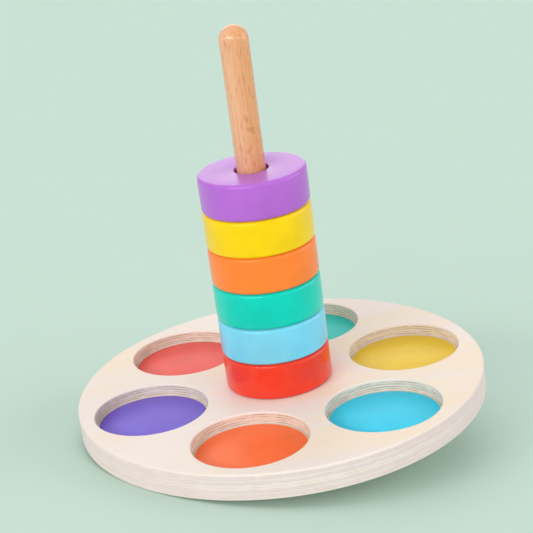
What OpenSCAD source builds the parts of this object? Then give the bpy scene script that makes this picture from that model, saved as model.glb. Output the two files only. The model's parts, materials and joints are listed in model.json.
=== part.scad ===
// Balance-board ring stacker
// A round plywood board rocks on a half-ball foot. One peg carries a stack of equal rings, and each
// ring has a pocket of its own colour in the board. The board is stored leaning until its rim
// touches the table, which is plane Z = 0. Units are millimetres.

/* [Board] */
// Diameter of the round board
board_d = 230; // [180:1:300]
// Thickness of each of the two plywood sheets glued into the board
sheet_t = 7.5; // [5:0.5:12]
// Rounding of the board's outer edges
board_edge = 1; // [0.5:0.1:2]

/* [Pockets] */
// Diameter of each round pocket
pocket_d = 63.4; // [61:0.1:70]
// Distance from the board's axis to each pocket's axis
pocket_pitch_r = 75.5; // [70:0.5:78]
// Rounding of each pocket's mouth
pocket_edge = 0.8; // [0.2:0.1:1.5]
// Thickness of the coloured disc laid in each pocket
floor_t = 0.8; // [0.4:0.1:2]
// Gap between a coloured disc and its pocket wall
floor_gap = 0.3; // [0.1:0.1:1]

/* [Rings] */
// Outer diameter of each ring
ring_d = 60; // [50:0.5:62]
// Height of each ring
ring_h = 20.75; // [12:0.05:25]
// Air between one ring and the next
ring_gap = 0.05; // [0:0.01:0.5]
// Diameter of each ring's bore
ring_bore_d = 19; // [17:0.1:24]
// Rounding of a ring's outer edges
ring_edge = 2; // [0.5:0.1:4]
// Rounding of the edges of a ring's bore
bore_edge = 0.6; // [0.2:0.1:3]

/* [Peg] */
// Diameter of the peg
peg_d = 16; // [10:0.5:18]
// Height of the peg's round tip above the board
peg_h = 204; // [130:1:260]
// Diameter of the tenon at the peg's lower end
tenon_d = 14; // [8:0.5:15]
// Length of the tenon below the peg's shoulder
tenon_l = 24; // [16:0.5:28]
// Bevel round the tenon's lower end
tenon_bevel = 1; // [0.5:0.1:2]
// Radial clearance of the tenon in its socket
tenon_gap = 0.05; // [0.02:0.01:0.2]
// Space left under the tenon
socket_extra = 0.5; // [0.2:0.1:2]

/* [Foot] */
// Radius of the ball that the foot is cut from
ball_r = 32; // [28:0.5:45]
// Height of the foot below the board
foot_h = 21; // [15:0.5:30]

/* [Foot dowels] */
// Diameter of each glued dowel
dowel_d = 6; // [4:0.5:8]
// Length of each glued dowel
dowel_l = 16; // [10:1:20]
// Distance from the board's axis to each dowel's axis
dowel_pitch_r = 18; // [14:0.5:22]
// Depth of each dowel's hole in the board
dowel_in_board = 6.2; // [4:0.1:7]
// Radial gap round each dowel
dowel_gap = 0.05; // [0.02:0.01:0.15]
// Bevel on each end of a dowel
dowel_bevel = 0.5; // [0.2:0.1:1]
// Space left for glue at each end of a dowel
glue_space = 0.2; // [0.1:0.1:1]

/* [Hidden] */
$fn = 96;
cut = 1;
// keeps a rounding from ending tangent to the face it meets
tangent_gap = 0.02;

board_r = board_d / 2;
board_t = 2 * sheet_t;
pocket_r = pocket_d / 2;
peg_r = peg_d / 2;
socket_r = tenon_d / 2 + tenon_gap;
dowel_r = dowel_d / 2;
dowel_hole_l = dowel_l + 2 * glue_space;
dowel_hole_z = dowel_in_board - dowel_hole_l;
ring_pitch = ring_h + ring_gap;

// height of the ball's centre above the board's underside
ball_z = ball_r - foot_h;

// the lean at which the board's lower edge and the foot both touch the table
arm = norm([board_r - board_edge, ball_z - board_edge]);
lean = asin((ball_r - board_edge) / arm) - atan2(ball_z - board_edge, board_r - board_edge);
lift = ball_r - ball_z * cos(lean);
shift = board_t * sin(lean) / 2;

// pocket directions about the board's axis, in degrees from the raised side
teal_at = 30;
red_at = 90;
purple_at = 150;
orange_at = 210;
blue_at = 270;
yellow_at = 330;

pocket_dirs = [teal_at, red_at, purple_at, orange_at, blue_at, yellow_at];
dowel_dirs = [0, 120, 240];

birch = "BurlyWood";
beech = "Tan";
red = "Tomato";
orange = "SandyBrown";
yellow = "Gold";
teal = "MediumTurquoise";
blue = "SkyBlue";
purple = "MediumPurple";

// Moves a piece from the board's own frame (Z = 0 at its underside) to the leaning rest pose.
module seated() {
    translate([shift, 0, lift])
        rotate([0, -lean, 0])
            children();
}

// Places its children at each direction, at the given distance from the board's axis.
module around(directions, distance) {
    for (a = directions)
        rotate([0, 0, a])
            translate([distance, 0, 0])
                children();
}

// One plywood sheet, with its outer edge rounded on the upper side.
module sheet() {
    rotate_extrude() {
        square([board_r, sheet_t - board_edge]);
        square([board_r - board_edge, sheet_t]);
        translate([board_r - board_edge, sheet_t - board_edge])
            circle(r = board_edge);
    }
}

// Socket for the peg's tenon, through the board and into the foot.
module tenon_socket() {
    translate([0, 0, board_t - tenon_l - socket_extra])
        cylinder(r = socket_r, h = tenon_l + socket_extra + cut);
}

// Holes for the dowels, reaching up into the board and down into the foot.
module dowel_holes() {
    around(dowel_dirs, dowel_pitch_r)
        translate([0, 0, dowel_hole_z])
            cylinder(r = dowel_r + dowel_gap, h = dowel_hole_l);
}

// Space cut for one pocket, widening at the mouth to leave a rounded edge.
module pocket_cut() {
    mouth_r = pocket_r + pocket_edge;
    cylinder(r = pocket_r, h = sheet_t + cut);
    translate([0, 0, sheet_t - pocket_edge + tangent_gap])
        rotate_extrude()
            difference() {
                square([mouth_r, pocket_edge + cut]);
                translate([mouth_r, 0])
                    circle(r = pocket_edge);
            }
}

// Upper sheet, with the pockets cut right through it.
module top_board() {
    color(birch)
        seated()
            difference() {
                translate([0, 0, sheet_t])
                    sheet();
                translate([0, 0, sheet_t])
                    around(pocket_dirs, pocket_pitch_r)
                        pocket_cut();
                tenon_socket();
            }
}

// Lower sheet, glued under the upper one.
module backing_board() {
    color(birch)
        seated()
            difference() {
                translate([0, 0, sheet_t])
                    mirror([0, 0, 1])
                        sheet();
                tenon_socket();
                dowel_holes();
            }
}

// Coloured disc on the floor of the pocket in the given direction.
module floor_disc(direction) {
    seated()
        translate([0, 0, sheet_t])
            around([direction], pocket_pitch_r)
                cylinder(r = pocket_r - floor_gap, h = floor_t);
}

module floor_red() {
    color(red)
        floor_disc(red_at);
}

module floor_orange() {
    color(orange)
        floor_disc(orange_at);
}

module floor_yellow() {
    color(yellow)
        floor_disc(yellow_at);
}

module floor_teal() {
    color(teal)
        floor_disc(teal_at);
}

module floor_blue() {
    color(blue)
        floor_disc(blue_at);
}

module floor_purple() {
    color(purple)
        floor_disc(purple_at);
}

// Half-ball that the board rocks on.
module foot() {
    color(beech)
        seated()
            difference() {
                intersection() {
                    translate([0, 0, ball_z])
                        sphere(r = ball_r);
                    translate([0, 0, -foot_h - cut])
                        cylinder(r = ball_r, h = foot_h + cut);
                }
                tenon_socket();
                dowel_holes();
            }
}

// Dowels glued half into the board and half into the foot.
module foot_dowels() {
    color(beech)
        seated()
            around(dowel_dirs, dowel_pitch_r)
                translate([0, 0, dowel_hole_z + glue_space])
                    rotate_extrude()
                        polygon([
                            [0, 0], [dowel_r - dowel_bevel, 0], [dowel_r, dowel_bevel],
                            [dowel_r, dowel_l - dowel_bevel], [dowel_r - dowel_bevel, dowel_l],
                            [0, dowel_l]
                        ]);
}

// Peg with a round tip and a tenon that pushes into the board.
module peg() {
    shaft_l = peg_h - peg_r;
    color(beech)
        seated()
            translate([0, 0, board_t]) {
                cylinder(r = peg_r, h = shaft_l);
                translate([0, 0, shaft_l])
                    sphere(r = peg_r);
                translate([0, 0, -tenon_l + tenon_bevel])
                    cylinder(r = tenon_d / 2, h = tenon_l - tenon_bevel);
                translate([0, 0, -tenon_l])
                    cylinder(r1 = tenon_d / 2 - tenon_bevel, r2 = tenon_d / 2, h = tenon_bevel);
            }
}

// Ring at the given place in the stack, counted from 0 at the bottom.
module ring(place) {
    bore_r = ring_bore_d / 2;
    outer_r = ring_d / 2;
    seated()
        translate([0, 0, board_t + ring_gap + place * ring_pitch])
            rotate_extrude() {
                translate([bore_r + bore_edge, 0])
                    square([outer_r - bore_r - bore_edge - ring_edge, ring_h]);
                translate([bore_r, bore_edge])
                    square([bore_edge, ring_h - 2 * bore_edge]);
                translate([outer_r - ring_edge, ring_edge])
                    square([ring_edge, ring_h - 2 * ring_edge]);
                for (z = [bore_edge, ring_h - bore_edge])
                    translate([bore_r + bore_edge, z])
                        circle(r = bore_edge);
                for (z = [ring_edge, ring_h - ring_edge])
                    translate([outer_r - ring_edge, z])
                        circle(r = ring_edge);
            }
}

module ring_red() {
    color(red)
        ring(0);
}

module ring_blue() {
    color(blue)
        ring(1);
}

module ring_teal() {
    color(teal)
        ring(2);
}

module ring_orange() {
    color(orange)
        ring(3);
}

module ring_yellow() {
    color(yellow)
        ring(4);
}

module ring_purple() {
    color(purple)
        ring(5);
}

top_board();
backing_board();
floor_red();
floor_orange();
floor_yellow();
floor_teal();
floor_blue();
floor_purple();
foot();
foot_dowels();
peg();
ring_red();
ring_blue();
ring_teal();
ring_orange();
ring_yellow();
ring_purple();
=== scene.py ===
import json
import math

import bmesh
import bpy
from bpy.props import FloatProperty, FloatVectorProperty, IntProperty, PointerProperty
from bpy.types import Operator, Panel, PropertyGroup
from mathutils import Matrix, Vector


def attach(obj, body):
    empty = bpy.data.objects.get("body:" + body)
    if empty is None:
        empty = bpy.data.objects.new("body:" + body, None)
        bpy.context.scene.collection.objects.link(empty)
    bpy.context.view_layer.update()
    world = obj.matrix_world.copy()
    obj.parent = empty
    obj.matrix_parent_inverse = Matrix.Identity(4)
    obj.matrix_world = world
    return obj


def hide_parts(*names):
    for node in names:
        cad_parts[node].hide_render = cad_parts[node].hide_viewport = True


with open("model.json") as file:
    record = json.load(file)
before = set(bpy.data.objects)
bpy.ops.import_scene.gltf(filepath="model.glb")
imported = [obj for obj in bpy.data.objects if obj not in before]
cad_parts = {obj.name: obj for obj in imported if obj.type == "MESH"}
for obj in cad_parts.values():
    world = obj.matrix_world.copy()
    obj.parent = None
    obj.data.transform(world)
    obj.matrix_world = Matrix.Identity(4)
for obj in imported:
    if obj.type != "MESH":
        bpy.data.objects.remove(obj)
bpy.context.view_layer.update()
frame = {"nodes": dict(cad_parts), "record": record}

bl_info = {
    "name": "Balance-board ring stacker",
    "version": (1, 0, 0),
    "blender": (4, 5, 0),
    "location": "3D View > Sidebar > Ring stacker",
    "description": "Turns the pieces, gives each its wood or lacquer, and sets up the studio",
    "category": "Object",
}

MM = 0.001
RINGS = ("red", "blue", "teal", "orange", "yellow", "purple")
MOUNTS = {m["name"]: m for m in frame["record"]["mounts"]}

# the board's own up, and a point on its axis
UP = Vector(MOUNTS["peg_shaft"]["axis"]).normalized()
ON_AXIS = Vector(MOUNTS["peg_shaft"]["pos_m"])


def node_points(node):
    """The node's points, measured from the board's axis."""
    return [v.co - ON_AXIS for v in frame["nodes"][node].data.vertices]


def heights(node):
    """Lowest and highest point of a node along the board's axis, from ON_AXIS."""
    along = [p.dot(UP) for p in node_points(node)]
    return min(along), max(along)


def reach(node):
    """Farthest distance of a node from the board's axis."""
    return max((p - p.dot(UP) * UP).length for p in node_points(node))


# the board's own frame: its origin is the middle of the board's underside, and Z is the board's up
BOARD_LOW = heights("backing_board")[0]
BOARD_T = heights("top_board")[1] - BOARD_LOW
BOARD_R = reach("top_board")
LEAN = math.atan2(-UP.x, UP.z)
SEAT = Matrix.Translation(ON_AXIS + BOARD_LOW * UP) @ Matrix.Rotation(-LEAN, 4, "Y")
PLIES_IN_SHEET = 5
PLY_T = BOARD_T / (2 * PLIES_IN_SHEET)

# surfaces whose faces meet at less than this are shaded as one
SHARP_ANGLE = math.radians(40)
# how near a point has to be to count as on an edge
ON_EDGE = 0.01 * MM
# slope of the lights that hang low at the sides
LOW_SLOPE = 0.27


# ---------------------------------------------------------------- settings


def length_setting(name, description, default):
    return FloatProperty(name=name, description=description, default=default, min=0, unit="LENGTH")


def angle_setting(name, description, degrees):
    return FloatProperty(
        name=name, description=description, default=math.radians(degrees), unit="ROTATION"
    )


def colour_setting(name, description, default):
    return FloatVectorProperty(
        name=name, description=description, default=default, size=3, min=0, max=1, subtype="COLOR"
    )


class WoodSettings(PropertyGroup):
    """Tones and figure of the birch plywood and the beech."""

    birch_pale: colour_setting("Birch, pale", "Lightest tone of the birch veneer", (0.79, 0.72, 0.67))
    birch_cream: colour_setting("Birch, cream", "Broad warm patches in the veneer", (0.82, 0.70, 0.555))
    birch_deep: colour_setting("Birch, deep", "Tone of the veneer's streaks", (0.77, 0.665, 0.575))
    birch_end: colour_setting("Birch, end grain", "Tone of a veneer cut across", (0.73, 0.62, 0.615))
    sawn_wall: colour_setting("Sawn wall", "Tone of a veneer cut across in a pocket", (0.69, 0.605, 0.50))
    rim_line: colour_setting("Rim line", "Line between two veneers on the rim", (0.60, 0.44, 0.36))
    pocket_line: colour_setting("Pocket line", "Line between two veneers in a pocket", (0.26, 0.18, 0.125))
    face_grain: angle_setting("Face grain", "Direction of the face veneer's grain", -35)
    # painted shade: the pale tone is the lit side of the peg and foot, and the tan tone the darker, warmer
    # side turned away from the key light, to the camera's right
    beech_pale: colour_setting("Beech, pale", "Pinkish tone of the beech's sapwood", (0.80, 0.435, 0.265))
    beech_painted_shade: colour_setting("Beech, tan", "Warmer tone of its heartwood", (0.75, 0.36, 0.16))
    beech_deep: colour_setting("Beech, deep", "Tone of the beech's fine streaks", (0.57, 0.235, 0.105))
    beech_fleck: colour_setting("Beech, flecks", "Short rays and spots in the beech", (0.36, 0.10, 0.028))
    # painted shade: the direction of the peg's and foot's shaded side, the camera's right
    shade_side: angle_setting("Heart side", "Direction of the heartwood from the board's axis", -47)
    # widths over which the painted shade changes across the foot and across the peg
    foot_shade_width: length_setting("Foot heart", "Half the width of the change in the foot", 24 * MM)
    peg_shade_width: length_setting("Peg heart", "Half the width of the change in the peg", 5.6 * MM)


class RingSettings(PropertyGroup):
    """Shape of the rings and colours of their lacquer."""

    outer_edge: length_setting("Outer edge", "Rounding of the outer edges", 2 * MM)
    bore_edge: length_setting("Bore edge", "Rounding of the bore's edges", 0.6 * MM)
    crown: length_setting("Crown", "How much narrower the wall is at its ends", 0.12 * MM)
    sides: IntProperty(name="Sides", description="Steps round a ring", default=160, min=32)
    red: colour_setting("Red", "Lacquer of the red ring", (0.79, 0.048, 0.022))
    blue: colour_setting("Blue", "Lacquer of the light blue ring", (0.19, 0.64, 0.85))
    teal: colour_setting("Teal", "Lacquer of the teal ring", (0.0, 0.605, 0.48))
    orange: colour_setting("Orange", "Lacquer of the orange ring", (0.97, 0.23, 0.032))
    yellow: colour_setting("Yellow", "Lacquer of the yellow ring", (0.92, 0.63, 0.0))
    purple: colour_setting("Purple", "Lacquer of the purple ring", (0.44, 0.134, 0.62))


class DiscSettings(PropertyGroup):
    """Shape of the discs in the pockets and colours of their paint."""

    rim: length_setting("Rim", "Rounding of a disc's upper edge", 0.2 * MM)
    bare_edge: length_setting("Bare edge", "Bare wood left round the paint", 1 * MM)
    sides: IntProperty(name="Sides", description="Steps round a disc", default=128, min=32)
    red: colour_setting("Red", "Paint of the red disc", (0.785, 0.096, 0.078))
    blue: colour_setting("Blue", "Paint of the blue disc", (0.01, 0.59, 0.82))
    teal: colour_setting("Teal", "Paint of the teal disc", (0.0, 0.52, 0.45))
    orange: colour_setting("Orange", "Paint of the orange disc", (0.98, 0.165, 0.04))
    yellow: colour_setting("Yellow", "Paint of the yellow disc", (0.78, 0.53, 0.018))
    purple: colour_setting("Purple", "Paint of the purple disc", (0.165, 0.108, 0.61))


class PegSettings(PropertyGroup):
    """Fineness of the turned peg."""

    sides: IntProperty(name="Sides", description="Steps round the peg", default=96, min=16)
    tip_steps: IntProperty(name="Tip steps", description="Steps from shaft to tip", default=16, min=4)
    shoulder: length_setting("Shoulder edge", "Rounding of the shoulder", 0.3 * MM)


class StudioSettings(PropertyGroup):
    """Floor, lights and camera."""

    floor: colour_setting("Floor", "Colour of the floor", (0.536, 0.703, 0.618))
    view_azimuth: angle_setting("View azimuth", "Direction the camera looks in, from +X", 42.93)
    view_elevation: angle_setting("View elevation", "How far the camera looks down", 12.84)
    view_distance: length_setting("View distance", "From the camera to the aim", 0.9511)
    aim_right: FloatProperty(
        name="Aim right", description="Aim, right of the board's middle", default=-0.0075, unit="LENGTH"
    )
    aim_up: FloatProperty(
        name="Aim up", description="Aim, above the board's middle", default=0.0626, unit="LENGTH"
    )
    lens: FloatProperty(name="Lens", description="Focal length", default=113.5, unit="CAMERA")


# ---------------------------------------------------------------- node helpers


def add(tree, kind, **settings):
    """A new node with its properties set."""
    node = tree.nodes.new(kind)
    for name, value in settings.items():
        setattr(node, name, value)
    return node


def feed(tree, socket, value):
    """Links a socket to another, or sets it to a value."""
    if isinstance(value, bpy.types.NodeSocket):
        tree.links.new(value, socket)
    else:
        socket.default_value = value


def math_node(tree, operation, *values):
    node = add(tree, "ShaderNodeMath", operation=operation)
    for socket, value in zip(node.inputs, values):
        feed(tree, socket, value)
    return node.outputs[0]


def ramp(tree, value, low, high):
    """A smooth change from 0 at low to 1 at high. With low above high it falls instead of rising."""
    node = add(tree, "ShaderNodeMapRange", interpolation_type="SMOOTHSTEP")
    feed(tree, node.inputs["Value"], value)
    feed(tree, node.inputs["From Min"], low)
    feed(tree, node.inputs["From Max"], high)
    return node.outputs[0]


def mix_colour(tree, share, a, b, blend="MIX"):
    """The colour a where share is 0 and b where it is 1, or b blended over a."""
    node = add(tree, "ShaderNodeMix", data_type="RGBA", blend_type=blend)
    feed(tree, node.inputs[0], share)
    feed(tree, node.inputs[6], a)
    feed(tree, node.inputs[7], b)
    return node.outputs[2]


def mapping(tree, vector, kind, location=(0, 0, 0), rotation=(0, 0, 0), scale=(1, 1, 1)):
    node = add(tree, "ShaderNodeMapping", vector_type=kind)
    feed(tree, node.inputs["Vector"], vector)
    node.inputs["Location"].default_value = location
    node.inputs["Rotation"].default_value = rotation
    node.inputs["Scale"].default_value = scale
    return node.outputs[0]


def noise(tree, vector, scale, detail=3.0, roughness=0.55):
    """Noise from 0 to 1, with scale in turns per metre."""
    node = add(tree, "ShaderNodeTexNoise")
    feed(tree, node.inputs["Vector"], vector)
    node.inputs["Scale"].default_value = scale
    node.inputs["Detail"].default_value = detail
    node.inputs["Roughness"].default_value = roughness
    return node.outputs["Fac"]


def new_group(name, inputs, outputs):
    """An empty shader node group with the given sockets: {name: socket type}."""
    tree = bpy.data.node_groups.new(name, "ShaderNodeTree")
    for label, kind in inputs.items():
        tree.interface.new_socket(name=label, in_out="INPUT", socket_type=kind)
    for label, kind in outputs.items():
        tree.interface.new_socket(name=label, in_out="OUTPUT", socket_type=kind)
    return tree, add(tree, "NodeGroupInput").outputs, add(tree, "NodeGroupOutput").inputs


def place(tree, name, **values):
    """Puts a group in a material and feeds its inputs."""
    node = add(tree, "ShaderNodeGroup", node_tree=bpy.data.node_groups[name])
    for label, value in values.items():
        feed(tree, node.inputs[label], value)
    return node.outputs


FLOAT, COLOUR, VECTOR = "NodeSocketFloat", "NodeSocketColor", "NodeSocketVector"


def rgba(colour):
    return (*colour, 1.0)


def board_point(tree):
    """A point in the board's own frame, in metres."""
    here = add(tree, "ShaderNodeTexCoord").outputs["Object"]
    return mapping(tree, here, "TEXTURE", SEAT.to_translation(), SEAT.to_euler())


# ---------------------------------------------------------------- shared effects


def veneer_grain_group():
    """Straight faint grain along X: streaks, a slow change of tone and fine pores."""
    tree, given, out = new_group(
        "veneer_grain",
        {"Point": VECTOR},
        {"Streaks": FLOAT, "Pores": FLOAT, "Tone": FLOAT},
    )
    bend = noise(tree, mapping(tree, given["Point"], "POINT", scale=(0.35, 1, 1)), 22, 2.0)
    shift = add(tree, "ShaderNodeCombineXYZ")
    feed(tree, shift.inputs["Y"], math_node(tree, "MULTIPLY", bend, 0.006))
    bent = add(tree, "ShaderNodeVectorMath", operation="ADD")
    feed(tree, bent.inputs[0], given["Point"])
    feed(tree, bent.inputs[1], shift.outputs[0])
    long_way = mapping(tree, bent.outputs[0], "POINT", scale=(0.035, 1, 1))
    feed(tree, out["Streaks"], noise(tree, long_way, 520, 4.0, 0.62))
    short_way = mapping(tree, bent.outputs[0], "POINT", scale=(0.09, 1, 1))
    feed(tree, out["Pores"], noise(tree, short_way, 2600, 2.0))
    broad = mapping(tree, given["Point"], "POINT", scale=(0.25, 1, 1))
    feed(tree, out["Tone"], noise(tree, broad, 38, 2.0))


def rays_group():
    """Marks along Z on the side of beech: short thin dashes, and soft spots a few millimetres across."""
    tree, given, out = new_group("rays", {"Point": VECTOR}, {"Dashes": FLOAT, "Spots": FLOAT})
    cells = add(tree, "ShaderNodeTexVoronoi")
    feed(tree, cells.inputs["Vector"], mapping(tree, given["Point"], "POINT", scale=(1, 1, 0.11)))
    cells.inputs["Scale"].default_value = 780
    feed(tree, out["Dashes"], ramp(tree, cells.outputs["Distance"], 0.32, 0.08))
    wide = noise(tree, mapping(tree, given["Point"], "POINT", scale=(1, 1, 0.8)), 210, 1.0)
    feed(tree, out["Spots"], ramp(tree, wide, 0.62, 0.74))


def lacquer_skin_group():
    """The even film of a sprayed lacquer: slight unevenness, and the wood showing through it."""
    tree, given, out = new_group(
        "lacquer_skin", {"Colour": COLOUR}, {"Colour": COLOUR, "Roughness": FLOAT, "Height": FLOAT}
    )
    point = board_point(tree)
    patches = noise(tree, point, 60, 2.0)
    peel = noise(tree, point, 900, 2.0)
    grain = noise(tree, mapping(tree, point, "POINT", scale=(0.06, 1, 1)), 700, 3.0)
    darker = mix_colour(tree, 1.0, given["Colour"], (0.93, 0.92, 0.92, 1), "MULTIPLY")
    feed(tree, out["Colour"], mix_colour(tree, ramp(tree, patches, 0.35, 0.7), given["Colour"], darker))
    rough = add(tree, "ShaderNodeMapRange")
    feed(tree, rough.inputs["Value"], peel)
    rough.inputs["To Min"].default_value = 0.3
    rough.inputs["To Max"].default_value = 0.42
    feed(tree, out["Roughness"], rough.outputs[0])
    swell = math_node(tree, "MULTIPLY", grain, 0.6)
    feed(tree, out["Height"], math_node(tree, "ADD", math_node(tree, "MULTIPLY", peel, 0.5), swell))


def build_groups():
    veneer_grain_group()
    rays_group()
    lacquer_skin_group()


# ---------------------------------------------------------------- materials


def new_material(name):
    """A material with an empty tree but for its shader, and that shader."""
    material = bpy.data.materials.new(name)
    material.use_nodes = True
    tree = material.node_tree
    tree.nodes.clear()
    shader = add(tree, "ShaderNodeBsdfPrincipled")
    output = add(tree, "ShaderNodeOutputMaterial")
    tree.links.new(shader.outputs[0], output.inputs["Surface"])
    return material, tree, shader


def bump(tree, shader, height, distance):
    """Raises the surface by height, from 0 to 1, times distance."""
    node = add(tree, "ShaderNodeBump")
    feed(tree, node.inputs["Height"], height)
    node.inputs["Distance"].default_value = distance
    node.inputs["Strength"].default_value = 1.0
    tree.links.new(node.outputs[0], shader.inputs["Normal"])


def dot(tree, vector, direction):
    """How far a vector reaches in a fixed direction."""
    node = add(tree, "ShaderNodeVectorMath", operation="DOT_PRODUCT")
    feed(tree, node.inputs[0], vector)
    node.inputs[1].default_value = direction
    return node.outputs["Value"]


def blend_values(tree, share, a, b):
    """The value a where share is 0 and b where it is 1."""
    node = add(tree, "ShaderNodeMix", data_type="FLOAT")
    feed(tree, node.inputs[0], share)
    feed(tree, node.inputs[2], a)
    feed(tree, node.inputs[3], b)
    return node.outputs[0]


def birch_plywood(wood):
    """Ten veneers by height, each with its own grain direction and tone, and glue between them."""
    material, tree, shader = new_material("birch_veneers")
    point = board_point(tree)
    facing = add(tree, "ShaderNodeTexCoord").outputs["Normal"]
    edge = ramp(tree, math_node(tree, "ABSOLUTE", dot(tree, facing, UP)), 0.95, 0.6)
    from_axis = add(tree, "ShaderNodeVectorMath", operation="LENGTH")
    feed(tree, from_axis.inputs[0], mapping(tree, point, "POINT", scale=(1, 1, 0)))
    rim = ramp(tree, from_axis.outputs["Value"], BOARD_R - 2 * MM, BOARD_R - MM)

    # the outermost veneers run on to the faces, so no glue line falls on a face
    inside = add(tree, "ShaderNodeClamp")
    feed(tree, inside.inputs["Value"], dot(tree, point, (0, 0, 1)))
    inside.inputs["Min"].default_value = PLY_T * 0.4
    inside.inputs["Max"].default_value = BOARD_T - PLY_T * 0.4
    waver = math_node(tree, "MULTIPLY", noise(tree, point, 60, 2.0), PLY_T * 0.3)
    layer = math_node(tree, "DIVIDE", math_node(tree, "ADD", inside.outputs[0], waver), PLY_T)
    layer = math_node(tree, "SUBTRACT", layer, 0.15)
    number = math_node(tree, "FLOOR", layer)
    in_sheet = math_node(tree, "MODULO", number, float(PLIES_IN_SHEET))
    crosswise = math_node(tree, "MODULO", in_sheet, 2.0)
    core = math_node(tree, "COMPARE", in_sheet, 2.0, 1.5)

    turns = (wood.face_grain, wood.face_grain + math.pi / 2)
    along, across = (
        place(tree, "veneer_grain", Point=mapping(tree, point, "TEXTURE", rotation=(0, 0, turn)))
        for turn in turns
    )
    streaks, pores, tone = (
        blend_values(tree, crosswise, along[label], across[label])
        for label in ("Streaks", "Pores", "Tone")
    )
    figure = math_node(tree, "MULTIPLY", ramp(tree, streaks, 0.4, 0.75), 0.5)
    on_face = math_node(tree, "SUBTRACT", 1.0, edge)
    patches = math_node(tree, "MULTIPLY", ramp(tree, tone, 0.42, 0.68), on_face)
    veneer = mix_colour(tree, patches, rgba(wood.birch_pale), rgba(wood.birch_cream))
    veneer = mix_colour(tree, figure, veneer, rgba(wood.birch_deep))

    # a core veneer shows end grain where its fibres run into the surface
    cut_across = mix_colour(tree, rim, rgba(wood.sawn_wall), rgba(wood.birch_end))
    fibres = [SEAT.to_3x3() @ Vector((math.cos(turn), math.sin(turn), 0)) for turn in turns]
    run_into = blend_values(
        tree, crosswise, *(math_node(tree, "ABSOLUTE", dot(tree, facing, fibre)) for fibre in fibres)
    )
    end_grain = math_node(tree, "MULTIPLY_ADD", core, 0.3, 0.65)
    end_grain = math_node(tree, "MULTIPLY", end_grain, ramp(tree, run_into, 0.1, 0.9))
    veneer = mix_colour(tree, end_grain, veneer, cut_across)

    # every veneer has a tone of its own, seen only on the edges
    chance = add(tree, "ShaderNodeTexWhiteNoise", noise_dimensions="1D")
    feed(tree, chance.inputs["W"], number)
    own = math_node(tree, "MULTIPLY", math_node(tree, "MULTIPLY", chance.outputs["Value"], core), edge)
    veneer = mix_colour(tree, math_node(tree, "MULTIPLY", own, 0.6), veneer, cut_across)

    # the glue lines come and go, and are darker in the pockets than on the sanded rim
    part_way = math_node(tree, "FRACT", layer)
    to_line = math_node(tree, "MINIMUM", part_way, math_node(tree, "SUBTRACT", 1.0, part_way))
    along_line = mapping(tree, point, "POINT", scale=(1, 1, 2.5))
    broken = ramp(tree, noise(tree, along_line, 130, 3.0), 0.35, 0.62)
    glue = math_node(tree, "MULTIPLY", ramp(tree, to_line, 0.22, 0.03), broken)
    glue = math_node(tree, "MULTIPLY", glue, edge)
    line = mix_colour(tree, rim, rgba(wood.pocket_line), rgba(wood.rim_line))
    strength = math_node(tree, "MULTIPLY_ADD", rim, -0.3, 0.8)
    colour = mix_colour(tree, math_node(tree, "MULTIPLY", glue, strength), veneer, line)
    tree.links.new(colour, shader.inputs["Base Color"])

    rough = math_node(tree, "MULTIPLY_ADD", edge, 0.18, 0.5)
    rough = math_node(tree, "MULTIPLY_ADD", pores, 0.12, rough)
    tree.links.new(rough, shader.inputs["Roughness"])
    height = math_node(tree, "MULTIPLY_ADD", glue, -1.2, math_node(tree, "MULTIPLY", pores, 0.4))
    bump(tree, shader, height, 0.06 * MM)
    shader.inputs["Specular IOR Level"].default_value = 0.35
    return material


def beech(wood, name, shade_width):
    """Oiled beech with its grain along the board's axis, and painted shade: a slow change to a darker,
    warmer tone on the side turned to the camera's right.
    """
    material, tree, shader = new_material("oiled_beech_" + name)
    point = board_point(tree)
    # twice as fine as the birch
    upright = mapping(tree, point, "TEXTURE", rotation=(0, math.pi / 2, 0), scale=(1, 0.5, 0.5))
    grain = place(tree, "veneer_grain", Point=upright)
    # painted shade: darker and warmer towards the camera's right, away from the key light
    shade_direction = (math.cos(wood.shade_side), math.sin(wood.shade_side), 0)
    in_shade = ramp(tree, dot(tree, point, shade_direction), -shade_width, shade_width)
    body = mix_colour(tree, in_shade, rgba(wood.beech_pale), rgba(wood.beech_painted_shade))
    streaks = math_node(tree, "MULTIPLY", ramp(tree, grain["Streaks"], 0.4, 0.75), 0.5)
    body = mix_colour(tree, streaks, body, rgba(wood.beech_deep))
    fibre = math_node(tree, "MULTIPLY", ramp(tree, grain["Pores"], 0.45, 0.75), 0.3)
    body = mix_colour(tree, fibre, body, rgba(wood.beech_deep))
    rays = place(tree, "rays", Point=point)
    dashes = math_node(tree, "MULTIPLY", rays["Dashes"], 0.55)
    body = mix_colour(tree, dashes, body, rgba(wood.beech_fleck))
    # the soft spots fall only on the side with the painted shade
    spots = math_node(tree, "MULTIPLY", math_node(tree, "MULTIPLY", rays["Spots"], in_shade), 0.5)
    body = mix_colour(tree, spots, body, rgba(wood.beech_fleck))
    tree.links.new(body, shader.inputs["Base Color"])
    rough = math_node(tree, "MULTIPLY_ADD", grain["Pores"], 0.18, 0.34)
    tree.links.new(rough, shader.inputs["Roughness"])
    height = math_node(tree, "MULTIPLY_ADD", dashes, -0.8, grain["Pores"])
    bump(tree, shader, height, 0.04 * MM)
    shader.inputs["Specular Tint"].default_value = rgba(wood.beech_pale)
    shader.inputs["Coat Weight"].default_value = 0.7
    shader.inputs["Coat Roughness"].default_value = 0.13
    return material


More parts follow.
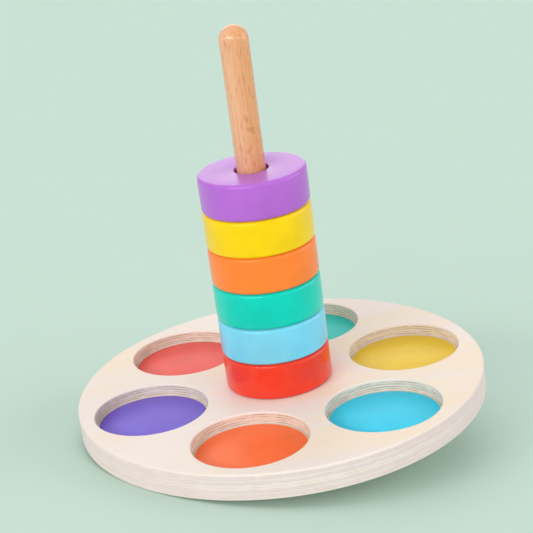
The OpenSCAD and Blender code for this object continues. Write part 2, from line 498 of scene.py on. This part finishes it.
def lacquer(name, colour):
    """Opaque satin lacquer sprayed on a turned ring."""
    material, tree, shader = new_material("lacquer_film_" + name)
    skin = place(tree, "lacquer_skin", Colour=rgba(colour))
    tree.links.new(skin["Colour"], shader.inputs["Base Color"])
    tree.links.new(skin["Roughness"], shader.inputs["Roughness"])
    bump(tree, shader, skin["Height"], 0.02 * MM)
    shader.inputs["Specular Tint"].default_value = rgba(colour)
    shader.inputs["Coat Weight"].default_value = 0.45
    shader.inputs["Coat Roughness"].default_value = 0.12
    return material


def pocket_paint(name, colour, bare, centre, radius):
    """Smooth paint on a pocket's disc, with no coat, out to the given radius, and bare wood past it."""
    material, tree, shader = new_material("pocket_paint_" + name)
    skin = place(tree, "lacquer_skin", Colour=rgba(colour))
    point = board_point(tree)
    from_centre = add(tree, "ShaderNodeVectorMath", operation="LENGTH")
    on_disc = mapping(tree, point, "POINT", location=(-centre.x, -centre.y, 0), scale=(1, 1, 0))
    feed(tree, from_centre.inputs[0], on_disc)
    unpainted = ramp(tree, from_centre.outputs["Value"], radius - 0.1 * MM, radius + 0.1 * MM)
    tree.links.new(mix_colour(tree, unpainted, skin["Colour"], rgba(bare)), shader.inputs["Base Color"])
    tree.links.new(skin["Roughness"], shader.inputs["Roughness"])
    bump(tree, shader, skin["Height"], 0.01 * MM)
    shader.inputs["Specular Tint"].default_value = rgba(colour)
    return material


def floor_sheet(colour):
    """Smooth matt backdrop board."""
    material, tree, shader = new_material("backdrop")
    here = add(tree, "ShaderNodeTexCoord").outputs["Object"]
    mottle = ramp(tree, noise(tree, here, 9, 3.0), 0.3, 0.7)
    darker = tuple(0.996 * c for c in colour)
    tree.links.new(mix_colour(tree, mottle, rgba(colour), rgba(darker)), shader.inputs["Base Color"])
    bump(tree, shader, noise(tree, here, 1400, 2.0), 0.02 * MM)
    shader.inputs["Roughness"].default_value = 0.9
    shader.inputs["Specular IOR Level"].default_value = 0.0
    return material


# ---------------------------------------------------------------- shaping


def spun(bm, sides):
    """Turns the bmesh's open profile, which lies in the XZ plane, once round Z."""
    bmesh.ops.spin(
        bm,
        geom=bm.verts[:] + bm.edges[:],
        cent=(0, 0, 0),
        axis=(0, 0, 1),
        angle=math.tau,
        steps=sides,
        use_merge=True,
    )
    bmesh.ops.remove_doubles(bm, verts=bm.verts, dist=0.001 * MM)


def profile(bm, points, closed=False):
    """A chain of edges through (distance from the axis, height) points."""
    verts = [bm.verts.new((r, 0, z)) for r, z in points]
    pairs = list(zip(verts, verts[1:] + verts[:1]))
    for a, b in pairs if closed else pairs[:-1]:
        bm.edges.new((a, b))
    return verts


def round_edges(bm, radius, height, offset, segments):
    """Rounds the circular edge at the given distance from the axis and height."""

    def on_circle(v):
        off_radius = abs(math.hypot(v.co.x, v.co.y) - radius)
        return off_radius < ON_EDGE and abs(v.co.z - height) < ON_EDGE

    edges = [e for e in bm.edges if all(on_circle(v) for v in e.verts)]
    bmesh.ops.bevel(
        bm,
        geom=edges,
        offset=offset,
        offset_type="OFFSET",
        affect="EDGES",
        segments=segments,
        profile=0.5,
        material=-1,
        clamp_overlap=True,
    )


def finish_piece(bm, name, node, body, material, place_at=SEAT):
    """Puts the shape on the board, outward and smooth, and lets it stand for its CAD node."""
    bmesh.ops.transform(bm, matrix=place_at, verts=bm.verts)
    bmesh.ops.recalc_face_normals(bm, faces=bm.faces)
    for face in bm.faces:
        face.smooth = True
    mesh = bpy.data.meshes.new(name)
    bm.to_mesh(mesh)
    bm.free()
    mesh.set_sharp_from_angle(angle=SHARP_ANGLE)
    mesh.materials.append(material)
    piece = bpy.data.objects.new(name, mesh)
    bpy.context.scene.collection.objects.link(piece)
    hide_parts(node)
    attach(piece, body)


def refinish(node, material):
    """Gives a CAD node a better material."""
    for entry in frame["nodes"][node].material_slots:
        entry.material = material


# ---------------------------------------------------------------- operators


class STACKER_OT_board(Operator):
    """Give the two plywood sheets their veneers"""

    bl_idname = "stacker.board"
    bl_label = "Board"

    def execute(self, context):
        material = birch_plywood(context.scene.stacker_wood)
        refinish("top_board", material)
        refinish("backing_board", material)
        return {"FINISHED"}


class STACKER_OT_foot(Operator):
    """Give the half-ball foot and its dowels their beech"""

    bl_idname = "stacker.foot"
    bl_label = "Foot"

    def execute(self, context):
        wood = context.scene.stacker_wood
        material = beech(wood, "foot", wood.foot_shade_width)
        refinish("foot", material)
        refinish("foot_dowels", material)
        return {"FINISHED"}


class STACKER_OT_discs(Operator):
    """Lay a painted disc in each pocket"""

    bl_idname = "stacker.discs"
    bl_label = "Pocket discs"

    def execute(self, context):
        discs = context.scene.stacker_discs
        bare = context.scene.stacker_wood.sawn_wall
        for name in RINGS:
            node = "floor_" + name
            low, high = (h - BOARD_LOW for h in heights(node))
            centre = SEAT.inverted() @ Vector(MOUNTS["pocket_" + name]["pos_m"])
            points = [SEAT.inverted() @ v.co for v in frame["nodes"][node].data.vertices]
            radius = max((point - centre).xy.length for point in points)
            bm = bmesh.new()
            bmesh.ops.create_circle(bm, cap_ends=True, radius=radius, segments=discs.sides)
            side = bmesh.ops.extrude_face_region(bm, geom=bm.faces[:])["geom"]
            raised = [v for v in side if isinstance(v, bmesh.types.BMVert)]
            bmesh.ops.translate(bm, verts=raised, vec=(0, 0, high - low))
            round_edges(bm, radius, high - low, discs.rim, 3)
            in_pocket = SEAT @ Matrix.Translation((centre.x, centre.y, low))
            painted = radius - discs.bare_edge
            material = pocket_paint(name, getattr(discs, name), bare, centre, painted)
            finish_piece(bm, "disc_" + name, node, "board", material, in_pocket)
        return {"FINISHED"}


class STACKER_OT_peg(Operator):
    """Turn the peg, with its tenon, shoulder and round tip"""

    bl_idname = "stacker.peg"
    bl_label = "Peg"

    def execute(self, context):
        peg = context.scene.stacker_peg
        low, high = (h - BOARD_LOW for h in heights("peg"))
        radius = MOUNTS["peg_shaft"]["dims"]["r_mm"] * MM
        below = [SEAT.inverted() @ v.co for v in frame["nodes"]["peg"].data.vertices]
        tenon_r = max(p.xy.length for p in below if p.z < BOARD_T - MM)
        foot_r = max(p.xy.length for p in below if p.z < low + ON_EDGE)
        bevel = min(p.z for p in below if p.xy.length > tenon_r - ON_EDGE) - low
        bm = bmesh.new()
        chain = profile(
            bm,
            [
                (0, low),
                (foot_r, low),
                (tenon_r, low + bevel),
                (tenon_r, BOARD_T),
                (radius, BOARD_T),
                (radius, high - radius),
            ],
        )
        bmesh.ops.spin(
            bm,
            geom=[chain[-1]],
            cent=(0, 0, high - radius),
            axis=(0, -1, 0),
            angle=math.pi / 2,
            steps=peg.tip_steps,
        )
        spun(bm, peg.sides)
        round_edges(bm, radius, BOARD_T, peg.shoulder, 2)
        wood = context.scene.stacker_wood
        material = beech(wood, "peg", wood.peg_shade_width)
        finish_piece(bm, "turned_peg", "peg", "peg", material)
        return {"FINISHED"}


class STACKER_OT_rings(Operator):
    """Turn the rings and lacquer them"""

    bl_idname = "stacker.rings"
    bl_label = "Rings"

    def execute(self, context):
        rings = context.scene.stacker_rings
        for name in RINGS:
            node = "ring_" + name
            low, high = (h - BOARD_LOW for h in heights(node))
            outer = reach(node)
            bore = min((SEAT.inverted() @ v.co).xy.length for v in frame["nodes"][node].data.vertices)
            end = outer - rings.crown
            bm = bmesh.new()
            corners = [(bore, low), (end, low), (outer, (low + high) / 2), (end, high), (bore, high)]
            profile(bm, corners, closed=True)
            spun(bm, rings.sides)
            for height in (low, high):
                round_edges(bm, end, height, rings.outer_edge, 7)
                round_edges(bm, bore, height, rings.bore_edge, 3)
            material = lacquer(name, getattr(rings, name))
            finish_piece(bm, "turned_ring_" + name, node, node, material)
        return {"FINISHED"}


class STACKER_OT_studio(Operator):
    """Lay the floor, hang the lights and place the camera"""

    bl_idname = "stacker.studio"
    bl_label = "Studio"

    def execute(self, context):
        studio = context.scene.stacker_studio
        lay_floor(studio)
        forward = heading(studio)
        hang_lights(forward)
        place_camera(context.scene, studio, forward)
        return {"FINISHED"}


# ---------------------------------------------------------------- studio


def heading(studio):
    """The direction the camera looks in."""
    flat = math.cos(studio.view_elevation)
    return Vector((
        flat * math.cos(studio.view_azimuth),
        flat * math.sin(studio.view_azimuth),
        -math.sin(studio.view_elevation),
    ))


def lay_floor(studio):
    bm = bmesh.new()
    bmesh.ops.create_grid(bm, x_segments=8, y_segments=8, size=30)
    mesh = bpy.data.meshes.new("floor")
    bm.to_mesh(mesh)
    bm.free()
    mesh.materials.append(floor_sheet(studio.floor))
    floor = bpy.data.objects.new("floor", mesh)
    bpy.context.scene.collection.objects.link(floor)


def hang_light(name, toward, strength, spread, colour):
    """A soft light, so far away that it falls evenly on the whole floor."""
    data = bpy.data.lights.new(name, "SUN")
    data.energy = strength
    data.angle = math.radians(spread)
    data.color = colour
    light = bpy.data.objects.new(name, data)
    light.rotation_mode = "QUATERNION"
    light.rotation_quaternion = toward.normalized().to_track_quat("Z", "Y")
    bpy.context.scene.collection.objects.link(light)


def hang_strip(name, middle, width, count, strength, colour, toward_turn):
    """A long low box: lights side by side that share its strength and leave one streak on an edge."""
    step = width / count
    for index in range(count):
        turn = middle + (index + 0.5) * step - width / 2
        hang_light(f"{name}_{index + 1}", toward_turn(math.radians(turn)), strength / count, step, colour)


def hang_lights(forward):
    """A wide light overhead, a long box on each side of the camera, and pale walls all round."""
    ahead = Vector((forward.x, forward.y, 0)).normalized()
    right = Vector((ahead.y, -ahead.x, 0))
    up = Vector((0, 0, 1))
    warm = (1.0, 0.955, 0.93)
    pink = (1.0, 0.95, 0.965)
    cool = (0.955, 1.0, 0.985)
    hang_light("overhead", -0.35 * right + 0.15 * ahead + up, 0.45, 80, cool)
    hang_light("wall_behind", -0.05 * right + ahead + 0.53 * up, 0.55, 50, cool)
    hang_light("wall_right", right + 0.05 * ahead + LOW_SLOPE * up, 1.1, 50, pink)

    def low_in_front(turn):
        return math.sin(turn) * right - math.cos(turn) * ahead + LOW_SLOPE * up

    hang_strip("box_left", -33, 50, 5, 1.85, warm, low_in_front)
    hang_strip("box_right", 45, 32, 4, 0.34, warm, low_in_front)
    world = bpy.data.worlds.new("pale_walls")
    world.use_nodes = True
    background = world.node_tree.nodes["Background"]
    background.inputs["Color"].default_value = (1.0, 0.965, 0.97, 1)
    background.inputs["Strength"].default_value = 0.625
    bpy.context.scene.world = world


def place_camera(scene, studio, forward):
    right = Vector((math.sin(studio.view_azimuth), -math.cos(studio.view_azimuth), 0))
    up = right.cross(forward)
    board_middle = SEAT @ Vector((0, 0, BOARD_T))
    aim = board_middle + studio.aim_right * right + studio.aim_up * up
    data = bpy.data.cameras.new("camera")
    data.lens = studio.lens
    data.clip_start = 0.01
    data.clip_end = 100
    camera = bpy.data.objects.new("camera", data)
    camera.location = aim - forward * studio.view_distance
    camera.rotation_mode = "QUATERNION"
    camera.rotation_quaternion = (-forward).to_track_quat("Z", "Y")
    scene.collection.objects.link(camera)
    scene.camera = camera
    scene.view_settings.view_transform = "Standard"


# ---------------------------------------------------------------- panel and registration


class STACKER_PT_panel(Panel):
    """Lists the steps and their settings"""

    bl_label = "Ring stacker"
    bl_idname = "STACKER_PT_panel"
    bl_space_type = "VIEW_3D"
    bl_region_type = "UI"
    bl_category = "Ring stacker"

    def draw(self, context):
        layout = self.layout
        for step in STEPS:
            layout.operator(step.bl_idname)
        for attribute, settings in SETTINGS.items():
            box = layout.box()
            box.label(text=settings.__name__.replace("Settings", ""))
            for name in settings.__annotations__:
                box.prop(getattr(context.scene, attribute), name)


SETTINGS = {
    "stacker_wood": WoodSettings,
    "stacker_rings": RingSettings,
    "stacker_discs": DiscSettings,
    "stacker_peg": PegSettings,
    "stacker_studio": StudioSettings,
}
STEPS = (
    STACKER_OT_board,
    STACKER_OT_foot,
    STACKER_OT_discs,
    STACKER_OT_peg,
    STACKER_OT_rings,
    STACKER_OT_studio,
)


def register():
    for cls in (*SETTINGS.values(), *STEPS, STACKER_PT_panel):
        bpy.utils.register_class(cls)
    for attribute, settings in SETTINGS.items():
        setattr(bpy.types.Scene, attribute, PointerProperty(type=settings))


def unregister():
    for attribute in SETTINGS:
        delattr(bpy.types.Scene, attribute)
    for cls in reversed((*SETTINGS.values(), *STEPS, STACKER_PT_panel)):
        bpy.utils.unregister_class(cls)


def main():
    register()
    build_groups()
    bpy.ops.stacker.board()
    bpy.ops.stacker.foot()
    bpy.ops.stacker.discs()
    bpy.ops.stacker.peg()
    bpy.ops.stacker.rings()
    bpy.ops.stacker.studio()


if __name__ == "__main__":
    main()
